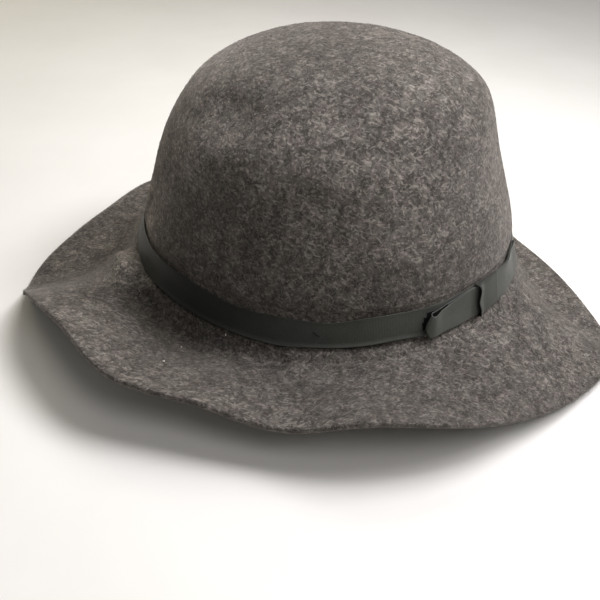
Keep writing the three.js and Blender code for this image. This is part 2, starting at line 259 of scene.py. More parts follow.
# Places where the ribbon's upper or lower edge stands off the felt
EDGE_LIFTS = (
    {"edge": "upper", "azimuth": 303, "out": 0.9 * MM, "spread": 16},
    {"edge": "upper", "azimuth": 71.5, "out": 1.2 * MM, "spread": 4},
    {"edge": "upper", "azimuth": 63, "out": 0.4 * MM, "spread": 8},
    {"edge": "upper", "azimuth": 22, "out": 0.35 * MM, "spread": 14},
    {"edge": "lower", "azimuth": 350, "out": 0.45 * MM, "spread": 22},
    {"edge": "lower", "azimuth": 200, "out": 0.4 * MM, "spread": 40},
)

# The strip of the band behind the loop's fold that gets painted shade: its start and end from the fold, its
# bend, and its middle and limits in shares of the band's width
GAP_START = -0.5 * MM
GAP_END = 6 * MM
GAP_BEND = 21 * MM
GAP_MIDDLE = 0.38
GAP_SHARES = (0.05, 0.76)

# Bow: its knot's middle, how far its loops reach towards the hat's front and back, where and how far they are
# open, and how far the front end stands off the band
BOW_AZIMUTH = 60.6
FRONT_REACH = 38.5 * MM
BACK_REACH = 37 * MM
LOOP_OPEN_FROM = 28.5 * MM
LOOP_OPENING = 1.5 * MM
LOOP_FULL_BEFORE = 4 * MM
REAR_OPENING = 0.5 * MM
LOOP_FOLD = 4.5 * MM
LOOP_END_LENGTH = 15 * MM
LOOP_END_LIFT = 2.3 * MM

# How much further than its opening the painted shade inside the front loop reaches
SHADE_LONGER = 1 * MM

# Bow's edges, in shares of the band's width: its top and foot, how much lower each layer's top is at the
# front end, and the foot's rise in front of the knot. Then how much the front loop's corners are cut back,
# how quickly its ends turn over, and its rows from the lower edge to the upper one
BOW_TOP = 1.04
BOW_FOOT = 0.02
BACK_LAYER_DROP = 0.21
FRONT_LAYER_DROP = 0.29
DROP_FROM = 7 * MM
DROP_FULL_BEFORE = 3 * MM
FOOT_RISE = 0.05
FOOT_RISE_AT = 9 * MM
UPPER_SLANT = 4 * MM
LOWER_SLANT = 2 * MM
BOW_STEPS = 640
BOW_TURN = 7
BOW_ROWS = (-1, -0.97, -0.75, -0.5, -0.25, 0, 0.25, 0.5, 0.75, 0.97, 1)

# Knot: its length along the band, its height, its middle in shares of the band's width, how round it is
# wrapped, how its front edge stands off the loops and sways, how much thinner it gets towards its rear edge,
# and its rows from the front edge to the rear one
KNOT_LENGTH = 16 * MM
KNOT_HALF_HEIGHT = 8.4 * MM
KNOT_MIDDLE = 0.55
KNOT_ROUNDNESS = 2 / 9
KNOT_EDGE_LIFT = 1.8 * MM
KNOT_EDGE_SHARE = 0.16
KNOT_SWAY = 1.0 * MM
KNOT_THINNING = 0.93
KNOT_STEPS = 96
KNOT_ROWS = (-0.5, -0.49, -0.42, -0.34, -0.25, -0.15, -0.05, 0.05, 0.15, 0.25, 0.35, 0.43, 0.49, 0.5)

# Thread of the tack at the ribbon's end: its two ends, as azimuths and shares of the band's width, how deep
# they sit and how far the thread rises between them. The lint is as thick
TACK_ENDS = np.array(((3.3, 0.48), (5.6, 0.335)))
TACK_STEPS = 13
TACK_DEPTH = 0.1 * MM
TACK_RISE = 0.3 * MM
THREAD_RADIUS = 0.22 * MM


def smoothstep(low, high, value):
    t = np.clip((np.asarray(value, float) - low) / (high - low), 0, 1)
    return t * t * (3 - 2 * t)


def bell(azimuth, form):
    """1 at a form's azimuth, falling softly to 0 at about twice its spread."""
    turn = (azimuth - form["azimuth"] + 180) % 360 - 180
    return np.exp(-(turn / form["spread"]) ** 2)


def unit(vectors):
    return vectors / np.maximum(np.linalg.norm(vectors, axis=-1), TINY)[..., None]


def to_crown(points):
    """Points of the row frame in the crown's own frame, whose z is the height over the crease."""
    return (np.asarray(points) - CREASE_MIDDLE) @ CROWN_TURN


def from_crown(points):
    return np.asarray(points) @ CROWN_TURN.T + CREASE_MIDDLE


def zone_point(place):
    """The point at an azimuth, a height over the crease and a radius."""
    azimuth, radius = math.radians(place["azimuth"]), place["radius"]
    return from_crown((radius * math.cos(azimuth), radius * math.sin(azimuth), place["height"]))


def new_object(name, data):
    thing = bpy.data.objects.new(name, data)
    bpy.context.scene.collection.objects.link(thing)
    return thing


# Camera, lights and floor

def add_camera():
    """Adds the camera, and returns its directions backwards and to the right."""
    azimuth, elevation = CAMERA_AZIMUTH, CAMERA_ELEVATION
    back = Vector((
        math.sin(azimuth) * math.cos(elevation),
        -math.cos(azimuth) * math.cos(elevation),
        math.sin(elevation),
    ))
    level = Vector((math.cos(azimuth), math.sin(azimuth), 0))
    right = Matrix.Rotation(CAMERA_ROLL, 3, back) @ level
    up = back.cross(right)
    data = bpy.data.cameras.new("camera")
    data.sensor_fit = "AUTO"
    data.angle = CAMERA_VIEW
    data.clip_start = CAMERA_CLIP
    camera = new_object("camera", data)
    turn = Matrix((right, up, back)).transposed().to_4x4()
    camera.matrix_world = Matrix.Translation(CAMERA_PLACE) @ turn
    bpy.context.scene.camera = camera
    return back, right


def add_lights(camera_back, camera_right):
    level_right = Vector((camera_right.x, camera_right.y, 0)).normalized()
    away = Vector((-camera_back.x, -camera_back.y, 0)).normalized()
    up = Vector((0, 0, 1))
    for row in LIGHTS:
        direction = level_right * row["right"] + away * row["away"] + up * row["up"]
        data = bpy.data.lights.new(row["name"], "AREA")
        data.shape = "DISK"
        data.size = row["size"]
        data.energy = row["power"]
        data.color = row["colour"]
        light = new_object(row["name"], data)
        light.location = LIGHT_TARGET + direction.normalized() * row["distance"]
        light.rotation_euler = (-direction).to_track_quat("-Z", "Y").to_euler()


def add_world():
    world = bpy.data.worlds.new("studio")
    world.use_nodes = True
    background = world.node_tree.nodes["Background"]
    background.inputs["Color"].default_value = WORLD_COLOUR
    background.inputs["Strength"].default_value = WORLD_STRENGTH
    bpy.context.scene.world = world


def add_floor(material):
    corners = [(x * FLOOR_REACH, y * FLOOR_REACH, 0) for x, y in ((-1, -1), (1, -1), (1, 1), (-1, 1))]
    mesh = bpy.data.meshes.new("floor")
    mesh.from_pydata(corners, [], [(0, 1, 2, 3)])
    mesh.materials.append(material)
    new_object("floor", mesh)


# Materials

class Nodes:
    """Short calls that build one material's node tree."""

    def __init__(self, name):
        self.material = bpy.data.materials.new(name)
        self.material.use_nodes = True
        self.tree = self.material.node_tree
        self.shader = self.tree.nodes["Principled BSDF"]
        self.place = self.add("ShaderNodeTexCoord").outputs["Object"]

    def add(self, kind, settings=None, **inputs):
        node = self.tree.nodes.new(kind)
        for key, value in (settings or {}).items():
            setattr(node, key, value)
        for key, value in inputs.items():
            self.give(node.inputs[key.replace("_", " ")], value)
        return node

    def give(self, socket, value):
        if isinstance(value, bpy.types.NodeSocket):
            self.tree.links.new(value, socket)
        else:
            socket.default_value = value

    def set(self, **inputs):
        for key, value in inputs.items():
            self.give(self.shader.inputs[key.replace("_", " ")], value)

    def noise(self, scale, detail=2.0, roughness=0.5, distortion=0.0, heading=None, length=1.0):
        """Fractal noise; with a heading, its grains are that many times as long along the heading."""
        place = self.place
        if heading:
            place = self.add(
                "ShaderNodeMapping", {"vector_type": "TEXTURE"},
                Vector=place, Rotation=heading, Scale=(1, 1, length),
            ).outputs["Vector"]
        node = self.add(
            "ShaderNodeTexNoise",
            Vector=place, Scale=scale, Detail=detail, Roughness=roughness, Distortion=distortion,
        )
        return node.outputs[0]

    def stretch(self, value, low, high, to_low=0.0, to_high=1.0):
        node = self.add("ShaderNodeMapRange", {"interpolation_type": "SMOOTHSTEP"}, Value=value)
        for key, number in zip(("From Min", "From Max", "To Min", "To Max"), (low, high, to_low, to_high)):
            node.inputs[key].default_value = number
        return node.outputs["Result"]

    def math(self, operation, first, second=0.0):
        node = self.add("ShaderNodeMath", {"operation": operation})
        self.give(node.inputs[0], first)
        self.give(node.inputs[1], second)
        return node.outputs[0]

    def mix(self, share, first, second, blend="MIX"):
        node = self.add("ShaderNodeMix", {"data_type": "RGBA", "blend_type": blend})
        self.give(node.inputs["Factor"], share)
        self.give(node.inputs["A"], first)
        self.give(node.inputs["B"], second)
        return node.outputs["Result"]

    def near(self, point, spread):
        """1 at a point, falling softly to 0 at about twice the spread."""
        node = self.add("ShaderNodeVectorMath", {"operation": "DISTANCE"})
        self.give(node.inputs[0], self.place)
        node.inputs[1].default_value = point
        share = self.math("DIVIDE", node.outputs["Value"], spread)
        return self.math("POWER", math.exp(-1), self.math("MULTIPLY", share, share))

    def shaded(self, colour, zones):
        """Painted light and shade: the colour made darker or lighter round some places on the hat."""
        for zone in zones:
            light = 1 + zone["change"]
            changed = self.mix(1.0, colour, (light, light, light, 1), "MULTIPLY")
            colour = self.mix(self.near(zone_point(zone), zone["spread"]), colour, changed)
        return colour

    def bump(self, height, strength, distance):
        node = self.add("ShaderNodeBump", Height=height, Strength=strength, Distance=distance)
        self.give(self.shader.inputs["Normal"], node.outputs["Normal"])


def warm_grey(level, warmth=0.1):
    return (level * (1 + warmth), level, level * (1 - warmth), 1)


def felt_material():
    """Dark warm grey wool with short pale fibre flecks that lie in all directions, in soft blotches, with
    painted light and shade round some places.
    """
    nodes = Nodes("wool_felt")
    grain = nodes.noise(760, detail=2, roughness=0.55, distortion=0.5)
    medium = nodes.noise(300, detail=2, roughness=0.6, distortion=0.8)
    blotches = nodes.noise(150, detail=2, roughness=0.6)
    patches = nodes.noise(50, detail=2, roughness=0.5)
    tone = nodes.noise(210, detail=2, roughness=0.6)

    flecks = None
    for heading in FLECK_HEADINGS:
        layer = nodes.noise(760, detail=1, roughness=0.5, distortion=0.7, heading=heading, length=2.6)
        flecks = layer if flecks is None else nodes.math("MAXIMUM", flecks, layer)
    mottle = nodes.math("ADD", nodes.math("MULTIPLY", grain, 0.58), nodes.math("MULTIPLY", medium, 0.42))
    colour = nodes.mix(nodes.stretch(mottle, 0.36, 0.62), warm_grey(0.036), warm_grey(0.090))
    colour = nodes.mix(nodes.stretch(flecks, 0.585, 0.72, 0.0, 0.75), colour, warm_grey(0.185))
    tint = nodes.mix(nodes.stretch(tone, 0.38, 0.62), (1.05, 0.98, 1.01, 1), (0.98, 1.01, 0.99, 1))
    colour = nodes.mix(0.5, colour, tint, "MULTIPLY")
    for field, low, high in ((blotches, 0.80, 1.22), (patches, 0.90, 1.10)):
        shade = nodes.mix(nodes.stretch(field, 0.33, 0.67), warm_grey(low, 0), warm_grey(high, 0))
        colour = nodes.mix(1.0, colour, shade, "MULTIPLY")
    # Painted light and shade round some places on the felt
    colour = nodes.shaded(colour, FELT_PAINTED_LIGHT_AND_SHADE)

    height = nodes.math("ADD", nodes.math("MULTIPLY", grain, 0.5), nodes.math("MULTIPLY", flecks, 0.5))
    nodes.bump(height, 0.6, 0.5 * MM)
    nodes.set(Base_Color=colour, Roughness=0.95, Specular_IOR_Level=0.1,
              Sheen_Weight=0.4, Sheen_Roughness=0.5, Sheen_Tint=(0.62, 0.57, 0.53, 1))
    return nodes.material


def fibre_material(name, level, spread):
    """Grey wool that varies by a share of its level from fibre to fibre."""
    nodes = Nodes(name)
    vary = nodes.noise(420, detail=1)
    dark, light = warm_grey(level * (1 - spread), 0.08), warm_grey(level * (1 + spread), 0.06)
    colour = nodes.mix(nodes.stretch(vary, 0.35, 0.65), dark, light)
    nodes.set(Base_Color=colour, Roughness=0.8, Specular_IOR_Level=0.25)
    return nodes.material


def ribbon_material(name, level):
    """Dark grosgrain; the level makes the whole ribbon darker or lighter."""
    nodes = Nodes(name)
    thread = nodes.noise(1800, detail=3, roughness=0.65)
    slow = nodes.noise(70, detail=2)
    colour = nodes.mix(nodes.stretch(thread, 0.3, 0.7), (0.022, 0.0235, 0.0205, 1), (0.043, 0.0455, 0.040, 1))
    colour = nodes.mix(nodes.stretch(slow, 0.3, 0.7, 0.0, 0.4), colour, (0.052, 0.054, 0.048, 1))
    # Painted light and shade round some places on the ribbon
    colour = nodes.shaded(nodes.mix(1.0, colour, warm_grey(level, 0), "MULTIPLY"), RIBBON_PAINTED_LIGHT_AND_SHADE)
    nodes.bump(thread, 0.35, 0.12 * MM)
    nodes.set(Base_Color=colour, Roughness=nodes.stretch(thread, 0.2, 0.8, 0.45, 0.65),
              Specular_IOR_Level=0.4, Sheen_Weight=0.2, Sheen_Roughness=0.4, Sheen_Tint=(0.60, 0.63, 0.58, 1))
    return nodes.material


def plain_material(name, level):
    nodes = Nodes(name)
    nodes.set(Base_Color=warm_grey(level, 0.05), Roughness=0.8, Specular_IOR_Level=0.15)
    return nodes.material


def floor_material():
    nodes = Nodes("pale_floor")
    mottle = nodes.noise(9, detail=4, roughness=0.6)
    colour = nodes.mix(nodes.stretch(mottle, 0.3, 0.7), (0.80, 0.79, 0.765, 1), (0.83, 0.82, 0.80, 1))
    nodes.set(Base_Color=colour, Roughness=0.75, Specular_IOR_Level=0.2)
    return nodes.material


# Meshes

def mesh_piece(name, points, faces, material):
    mesh = bpy.data.meshes.new(name)
    mesh.from_pydata(np.asarray(points, float).tolist(), [], faces)
    mesh.polygons.foreach_set("use_smooth", [True] * len(mesh.polygons))
    mesh.materials.append(material)
    return new_object(name, mesh)


def facing_out(piece):
    """Turns a closed mesh's faces to point out of it."""
    bm = bmesh.new()
    bm.from_mesh(piece.data)
    bmesh.ops.recalc_face_normals(bm, faces=bm.faces)
    bm.to_mesh(piece.data)
    bm.free()


def loft(name, sections, material, ring=False):
    """A closed skin through sections that are closed loops of points, capped unless it is a ring."""
    count, sides = sections.shape[:2]
    i = np.arange(count if ring else count - 1)[:, None]
    j = np.arange(sides)[None, :]
    here, there = i * sides, ((i + 1) % count) * sides
    after = (j + 1) % sides
    faces = np.stack([here + j, here + after, there + after, there + j], -1).reshape(-1, 4).tolist()
    if not ring:
        faces.append(list(range(sides))[::-1])
        faces.append(list(range((count - 1) * sides, count * sides)))
    piece = mesh_piece(name, sections.reshape(-1, 3), faces, material)
    facing_out(piece)
    return piece


def tube(name, spine, radius, material, slot, sides=8):
    """A round thread along a spine of points, thinner at both ends."""
    ahead = unit(np.gradient(spine, axis=0))
    side = unit(np.cross(ahead, (0.3, 0.2, 1.0)))
    other = np.cross(ahead, side)
    angle = np.arange(sides) * 2 * np.pi / sides
    thick = radius * (0.5 + 0.5 * np.sin(np.pi * np.linspace(0.08, 0.92, len(spine))))
    circle = side[:, None] * np.cos(angle)[None, :, None] + other[:, None] * np.sin(angle)[None, :, None]
    place_piece(loft(name, spine[:, None] + circle * thick[:, None, None], material), slot)


def apply_modifiers(piece):
    depsgraph = bpy.context.evaluated_depsgraph_get()
    mesh = bpy.data.meshes.new_from_object(piece.evaluated_get(depsgraph))
    piece.modifiers.clear()
    piece.data = mesh


def tree_of(piece):
    return BVHTree.FromObject(piece, bpy.context.evaluated_depsgraph_get())


def points_and_normals(mesh):
    points = np.zeros(len(mesh.vertices) * 3)
    normals = np.zeros(len(mesh.vertices) * 3)
    mesh.vertices.foreach_get("co", points)
    mesh.vertex_normals.foreach_get("vector", normals)
    return points.reshape(-1, 3), normals.reshape(-1, 3)


def place_piece(piece, slot, *replaced):
    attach(piece, "root")
    if replaced:
        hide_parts(*replaced)


# Felt

def join_to_quads(mesh):
    """Joins a mesh's triangles to quads and creases its sharp edges."""
    bm = bmesh.new()
    bm.from_mesh(mesh)
    bmesh.ops.remove_doubles(bm, verts=bm.verts, dist=WELD_DISTANCE)
    bmesh.ops.join_triangles(
        bm, faces=bm.faces, angle_face_threshold=QUAD_BEND, angle_shape_threshold=math.pi,
    )
    bmesh.ops.recalc_face_normals(bm, faces=bm.faces)
    crease = bm.edges.layers.float.new("crease_edge")
    for edge in bm.edges:
        if edge.calc_face_angle(0) > SHARP_ANGLE:
            edge[crease] = RIM_SHARPNESS
    bm.to_mesh(mesh)
    bm.free()


def fit_to_corners(piece):
    """Moves a mesh's corners out so that its subdivided surface passes through where they were."""
    corners, _ = points_and_normals(piece.data)
    moved = corners.copy()
    for _ in range(FELT_FITTINGS):
        depsgraph = bpy.context.evaluated_depsgraph_get()
        fine = piece.evaluated_get(depsgraph).to_mesh()
        reached, _ = points_and_normals(fine)
        moved += corners - reached[:len(corners)]
        piece.data.vertices.foreach_set("co", moved.ravel())
        piece.data.update()


def add_swells(piece):
    """Gives the felt its slight unevenness and keeps it on the floor."""
    points, normals = points_and_normals(piece.data)
    ribbon = tree_of(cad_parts["ribbon_band"])
    gap = np.array([ribbon.find_nearest(Vector(point))[3] for point in points])
    free = smoothstep(*SWELLS_OFF_RIBBON, gap) * smoothstep(*SWELLS_OFF_FLOOR, points[:, 2])
    move = np.zeros(len(points))
    for swell in SWELLS:
        values = [noise.noise(Vector(point / swell["size"])) for point in points]
        move += swell["height"] * np.array(values)
    points = points + normals * (move * free)[:, None]
    points[:, 2] = np.maximum(points[:, 2], 0)
    piece.data.vertices.foreach_set("co", points.ravel())
    piece.data.update()


def felt_piece(material):
    """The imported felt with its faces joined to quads, made fine and uneven."""
    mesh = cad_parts["felt_body"].data.copy()
    mesh.materials.clear()
    join_to_quads(mesh)
    mesh.polygons.foreach_set("use_smooth", [True] * len(mesh.polygons))
    mesh.materials.append(material)
    piece = new_object("felt_hat", mesh)
    smooth = piece.modifiers.new("smooth", "SUBSURF")
    smooth.levels = FELT_SUBDIVISIONS
    smooth.render_levels = FELT_SUBDIVISIONS
    fit_to_corners(piece)
    apply_modifiers(piece)
    add_swells(piece)
    place_piece(piece, "felt", "felt_body")
    return piece


# Fibres

class FeltSurface:
    """Where fibres can stand on the felt: its triangles, how much each counts, and its nearest points."""

    def __init__(self, piece, felt_tree, ribbon_tree):
        self.tree = felt_tree
        self.ribbon = ribbon_tree
        mesh = piece.data
        mesh.calc_loop_triangles()
        points, _ = points_and_normals(mesh)
        corners = np.zeros(len(mesh.loop_triangles) * 3, int)
        mesh.loop_triangles.foreach_get("vertices", corners)
        self.triangles = points[corners.reshape(-1, 3)]
        across = np.cross(
            self.triangles[:, 1] - self.triangles[:, 0],
            self.triangles[:, 2] - self.triangles[:, 0],
        )
        size = np.linalg.norm(across, axis=1)
        self.normals = unit(across)
        self.middle = self.triangles.mean(1)
        own = to_crown(self.middle)
        outward = (self.normals * (self.middle - CREASE_MIDDLE)).sum(1) > 0
        on_brim = own[:, 2] < BRIM_TOP
        upper = np.where(on_brim, self.normals[:, 2] > UPPER_POINTS_UP, outward)
        under = on_brim & ~upper
        self.weight = size * np.where(upper, 1.0, np.where(under, UNDERSIDE_SHARE, 0.0))
        self.weight[self.middle[:, 2] < BARE_HEIGHT] = 0
        on_edge = (np.abs(self.normals[:, 2]) < RIM_POINTS_UP) & (np.hypot(own[:, 0], own[:, 1]) > RIM_RADIUS)
        self.rim_weight = np.where(on_brim & on_edge, size, 0)

    def nearest(self, place):
        """The felt's point and normal nearest to an azimuth, a height over the crease and a radius."""
        point, normal, _, _ = self.tree.find_nearest(Vector(zone_point(place)))
        return np.array(point), np.array(normal)

    def near(self, places, spread):
        """Weights that put fibres round a few places."""
        weight = np.zeros(len(self.weight))
        for place in places:
            point, _ = self.nearest(place)
            weight += np.exp(-(np.linalg.norm(self.middle - point, axis=1) / spread) ** 2)
        return weight * self.weight


def fibre_roots(surface, weight, count, rng):
    """Random places on the felt, with its normals there and random headings along it."""
    pick = rng.choice(len(weight), count, p=weight / weight.sum())
    u, v = rng.random((2, count))
    fold = u + v > 1
    u[fold], v[fold] = 1 - u[fold], 1 - v[fold]
    corner = surface.triangles[pick]
    first, second = corner[:, 1] - corner[:, 0], corner[:, 2] - corner[:, 0]
    start = corner[:, 0] + u[:, None] * first + v[:, None] * second
    normal = surface.normals[pick]
    heading = rng.normal(size=(count, 3))
    heading -= normal * (heading * normal).sum(1)[:, None]
    return start, normal, unit(heading)


def fibre_spines(surface, weight, kind, rng):
    """Bent lines that follow the felt from root to tip; those beside the ribbon are left out."""
    count = kind["count"]
    start, normal, heading = fibre_roots(surface, weight, count, rng)
    reach = kind["length"] * (0.45 + 1.1 * rng.random(count) ** 2)
    bend = rng.normal(size=count) * kind["bend"]
    height = kind["lift"] * (0.4 + rng.random(count))
    side = np.cross(normal, heading)
    shares = [step / kind["steps"] for step in range(kind["steps"] + 1)]
    spine = []
    for share in shares:
        angle = bend * share
        ahead = heading * np.cos(angle)[:, None] + side * np.sin(angle)[:, None]
        spine.append(start + ahead * (reach * share)[:, None])
    spine = np.stack(spine, 1)

    keep = np.ones(count, bool)
    for one in range(count):
        for step, share in enumerate(shares):
            found, out, _, _ = surface.tree.find_nearest(Vector(spine[one, step]))
            arch = height[one] * math.sin(math.pi * min(share * 1.2, 1))
            rise = arch + kind["stand"] * reach[one] * share ** 1.3
            spine[one, step] = found + out * (rise - FIBRE_ROOT)
        keep[one] = surface.ribbon.find_nearest(Vector(spine[one, 1]))[3] > FIBRE_CLEARANCE
    spine = spine[keep]
    spine[:, :, 2] = np.maximum(spine[:, :, 2], FIBRE_FLOOR)
    return spine


def needle_points(spine, width, rng):
    """Rings of points round each spine, smaller towards its tip, and the tip itself."""
    count, steps = len(spine), spine.shape[1] - 1
    along = unit(np.gradient(spine, axis=1))
    side = unit(np.cross(along, rng.normal(size=(count, 1, 3))))
    other = np.cross(along, side)
    thick = width * (0.7 + 0.6 * rng.random(count))
    points = []
    for step in range(steps):
        radius = thick * (1 - NEEDLE_TAPER * step / steps) / 2
        for corner in range(NEEDLE_SIDES):
            angle = corner * 2 * math.pi / NEEDLE_SIDES
            offset = side[:, step] * math.cos(angle) + other[:, step] * math.sin(angle)
            points.append(spine[:, step] + offset * radius[:, None])
    points.append(spine[:, steps])
    return np.stack(points, 1)


def needle_faces(steps):
    """The faces of one needle: its root, its sides and its tip."""
    faces = [list(range(NEEDLE_SIDES))[::-1]]
    for step in range(steps):
        for corner in range(NEEDLE_SIDES):
            here = step * NEEDLE_SIDES + corner
            after = step * NEEDLE_SIDES + (corner + 1) % NEEDLE_SIDES
            if step < steps - 1:
                faces.append([here, after, after + NEEDLE_SIDES, here + NEEDLE_SIDES])
            else:
                faces.append([here, after, steps * NEEDLE_SIDES])
    return faces


def fibres(surface, weight, kind, material):
    """Wool fibres: thin bent needles that lie along the felt, or stand off it by a share of their length."""
    rng = np.random.default_rng(kind["seed"])
    spine = fibre_spines(surface, weight, kind, rng)
    points = needle_points(spine, kind["width"], rng)
    count, each = points.shape[:2]
    pattern = needle_faces(kind["steps"])
    faces = [[one * each + point for point in face] for one in range(count) for face in pattern]
    place_piece(mesh_piece(kind["name"], points.reshape(-1, 3), faces, material), "felt")


def lint_specks(surface, material):
    """Small curled bits of white lint, each a short bent thread."""
    for number, place in enumerate(LINT_PLACES):
        point, normal = surface.nearest(place)
        side = unit(np.cross(normal, (0.4, 1.0, 0.2)))
        other = np.cross(normal, side)
        turn = np.linspace(0, LINT_TURN + number, LINT_STEPS)[:, None]
        curl = side * np.cos(turn) + other * np.sin(turn)
        spine = point + curl * LINT_RADIUS + normal * (LINT_HEIGHT + LINT_RISE * turn)
        tube("lint_speck_%d" % (number + 1), spine, THREAD_RADIUS, material, "felt")


# Ribbon

def along_ring(ring, place):
    """Smooth closed curve through the rows of an array, at places counted in rows."""
    place = np.asarray(place, float)
    first = np.floor(place).astype(int)
    t = (place - first).reshape(place.shape + (1,) * (ring.ndim - 1))
    a, b, c, d = (ring[(first + k) % len(ring)] for k in (-1, 0, 1, 2))
    return b + 0.5 * t * (c - a + t * (2 * a - 5 * b + 4 * c - d + t * (3 * (b - c) + d - a)))


class Band:
    """The surface that the ribbon lies on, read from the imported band.

    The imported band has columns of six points: inside and outside, at its lower edge, middle and upper edge.
    """

    def __init__(self):
        points = np.array([vertex.co[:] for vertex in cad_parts["ribbon_band"].data.vertices])
        own = np.unique(np.round(to_crown(points), 6), axis=0)
        count = len(own) // 6
        self.step = 360 / count
        columns = [[] for _ in range(count)]
        for point in own:
            azimuth = math.degrees(math.atan2(point[1], point[0])) % 360
            columns[round(azimuth / self.step) % count].append(point)
        rows = []
        for column in columns:
            column = sorted(column, key=lambda point: point[2])
            heights = (column[0:2], column[2:4], column[4:6])
            rows.append([sorted(pair, key=lambda point: math.hypot(point[0], point[1])) for pair in heights])
        self.ring = np.array(rows)
        self.places = np.linspace(0, count, CURVE_STEPS + 1)
        fine = along_ring(self.ring[:, 1, 0], self.places)
        self.run = np.concatenate([[0], np.cumsum(np.linalg.norm(np.diff(fine, axis=0), axis=1))])
        self.length = self.run[-1]

    def run_at(self, azimuth):
        """Distance along the band at an azimuth."""
        return float(np.interp(azimuth / self.step, self.places, self.run))

    def place_at(self, run):
        return np.interp(run % self.length, self.run, self.places)

    def azimuth_at(self, run):
        return self.place_at(run) * self.step

    def point(self, run, up, out):
        """Points in the row frame: distance along the band, share of its width, distance off its inside."""
        run, up, out = np.broadcast_arrays(np.asarray(run, float), up, out)
        both = along_ring(self.ring, self.place_at(run))
        t = np.asarray(up, float)[..., None]
        low, mid, high = 2 * (t - 0.5) * (t - 1), -4 * t * (t - 1), 2 * t * (t - 0.5)
        weights = (low, mid, high)
        inside = sum(weight * both[..., k, 0, :] for k, weight in enumerate(weights))
        outside = sum(weight * both[..., k, 1, :] for k, weight in enumerate(weights))
        return from_crown(inside + unit(outside - inside) * np.asarray(out)[..., None])


def edge_lift(azimuth, share):
    """How far the ribbon stands off the felt at an azimuth and a share of its width, by its lifted edges."""
    lift = np.zeros(np.broadcast(azimuth, share).shape)
    for form in EDGE_LIFTS:
        towards = np.asarray(share if form["edge"] == "upper" else 1 - np.asarray(share))
        lift += form["out"] * bell(azimuth, form) * np.clip(towards, 0, 1) ** 2
    return lift


def edge_line(edge, azimuth):
    """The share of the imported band's width where one of the ribbon's edges lies, by azimuth."""
    share = LOWER_LINE if edge == "lower" else UPPER_LINE
    for form in EDGE_SHIFTS:
        if form["edge"] == edge:
            share = share + form["up"] * bell(azimuth, form)
    return share


def ribs_along(run, pitch):
    """The height of the weave's ribs at distances along the ribbon."""
    return np.abs(np.sin(np.pi * run / pitch)) ** RIB_ROUNDNESS * RIB_HEIGHT


def felt_under(band, felt_tree, run, up):
    """How far out the felt's surface lies under places on the band."""
    found = []
    for start, end in zip(band.point(run, up, FELT_SEARCH), band.point(run, up, -FELT_SEARCH)):
        inwards = Vector(end - start).normalized()
        _, _, _, distance = felt_tree.ray_cast(Vector(start), inwards, 2 * FELT_SEARCH)
        found.append(0 if distance is None else FELT_SEARCH - distance)
    return np.array(found)


def paint_shade_behind_loop(piece, sides, run, fold):
    """Gives the painted-shade material to the strip of the band behind the loop's fold."""
    for face in piece.data.polygons:
        column, row = divmod(face.index, sides)
        if row + 1 < len(BAND_SHARES):
            share = (BAND_SHARES[row] + BAND_SHARES[row + 1]) / 2
            start = fold + GAP_START + GAP_BEND * (share - GAP_MIDDLE) ** 2
            if GAP_SHARES[0] < share < GAP_SHARES[1] and start < run[column] < fold + GAP_END:
                face.material_index = 1


def ribbon_band(band, felt_tree, material, painted_shade_material):
    """The ribbon round the crown: a ribbed strip with rolled edges that wave, lift and thin out."""
    ribs = round(band.length / RIB_PITCH)
    columns = ribs * RIB_STEPS
    run = np.arange(columns) * band.length / columns
    azimuth = band.azimuth_at(run)
    rib = ribs_along(run, band.length / ribs)
    lower, upper = edge_line("lower", azimuth), edge_line("upper", azimuth)
    sway = SWAY_SIZE * np.sin(2 * np.pi * run / SWAY_LENGTH + SWAY_START)
    outer, inner = [], []
    for share in BAND_SHARES:
        at_edge = min(share, 1 - share) < EDGE_SHARE
        body = SELVEDGE + SELVEDGE_RIBS * rib if at_edge else rib
        roll = LOWER_EDGE_ROLL if share < EDGE_SHARE else 0
        thick = RIBBON_THICKNESS * (1 - UPPER_EDGE_THINNING * float(smoothstep(0.4, 1, share)))
        up = lower + share * (upper - lower) + sway
        foot = felt_under(band, felt_tree, run, up) + FELT_SPACE
        inside = np.maximum(RIBBON_INSIDE, foot) + edge_lift(azimuth, share)
        outer.append(band.point(run, up, inside + thick + body + roll))
        inner.append(band.point(run, up, inside))
    sections = np.stack(outer + inner[::-3], 1)
    piece = loft("grosgrain_band", sections, material, ring=True)
    # Painted shade on the strip of the band behind the loop's fold
    piece.data.materials.append(painted_shade_material)
    paint_shade_behind_loop(piece, sections.shape[1], run, band.run_at(BOW_AZIMUTH) - FRONT_REACH)
    place_piece(piece, "ribbon", "ribbon_band")
    return piece


class BowLayers:
    """How far off the felt the middle of each layer of the bow lies, by distance from the knot's middle."""

    step = RIBBON_THICKNESS + LAYER_SPACE + RIB_HEIGHT
    first = RIBBON_INSIDE + RIBBON_THICKNESS + RIB_HEIGHT + LAYER_SPACE + RIBBON_THICKNESS / 2

    def at_knot(self, distance):
        """1 over the knot's rear side, which the loops lie on, falling to 0 beyond it."""
        end = np.where(distance > 0, BACK_REACH, KNOT_LENGTH * 0.75)
        return 1 - smoothstep(KNOT_LENGTH / 2, end, np.abs(distance))

    def back(self, distance):
        """How far off the felt the loops' rear layer lies."""
        end = smoothstep(FRONT_REACH - LOOP_END_LENGTH, FRONT_REACH, -distance)
        return self.first + self.step * self.at_knot(distance) + LOOP_END_LIFT * end

    def opening(self, distance, share):
        """Space between a loop's layers: the front loop gapes at its upper edge and is flat at its fold."""
        upper = float(smoothstep(-0.6, 1, share))
        gape = smoothstep(LOOP_OPEN_FROM, FRONT_REACH - LOOP_FULL_BEFORE, -distance)
        fold = smoothstep(FRONT_REACH - LOOP_FOLD, FRONT_REACH, -distance)
        front = LOOP_OPENING * (0.5 + 0.5 * upper) * gape * (1 - (0.7 - 0.5 * upper) * fold)
        return front + REAR_OPENING * smoothstep(LOOP_OPEN_FROM, BACK_REACH, distance)


